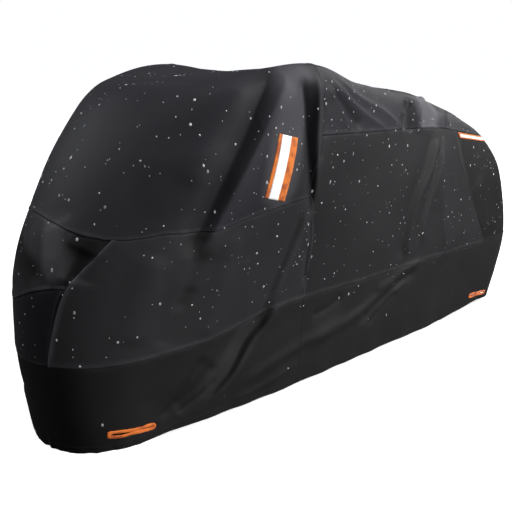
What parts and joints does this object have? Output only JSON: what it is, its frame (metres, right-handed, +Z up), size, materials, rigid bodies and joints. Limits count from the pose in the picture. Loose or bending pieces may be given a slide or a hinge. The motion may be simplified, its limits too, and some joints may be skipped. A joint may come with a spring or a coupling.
{
  "type": "motorcycle cover",
  "caption": "Fitted outdoor motorcycle cover of black coated cloth, draped and hollow, with an elastic hem, reflective strips and orange-bound lock holes.",
  "frame": {"origin": "middle of the cover's box, on the ground plane at the lowest point of the hem", "axes": "+X to the front of the covered motorcycle, +Y to the rider's left, +Z up"},
  "size_m": [2.6832, 0.8904, 1.2162],
  "materials": {
    "cloth": "semi-matte coated woven cloth",
    "orange_binding": "woven binding tape",
    "orange_backing": "coated woven cloth",
    "reflective_tape": "retroreflective tape"
  },
  "bodies": {
    "root": {"hood": "cloth", "rear_top": "cloth", "nose_upper": "cloth", "nose_lower": "cloth", "front_side_left": "cloth", "front_side_right": "cloth", "rear_side_left": "cloth", "rear_side_right": "cloth", "tail_panel": "cloth", "skirt_front": "cloth", "skirt_rear": "cloth", "lock_hole_front_left": "orange_binding", "lock_hole_front_right": "orange_binding", "lock_hole_rear_left": "orange_binding", "lock_hole_rear_right": "orange_binding", "strip_left_backing": "orange_backing", "strip_left_tape": "reflective_tape", "strip_right_backing": "orange_backing", "strip_right_tape": "reflective_tape", "strip_rear_backing": "orange_backing", "strip_rear_tape": "reflective_tape"}
  },
  "joints": []
}
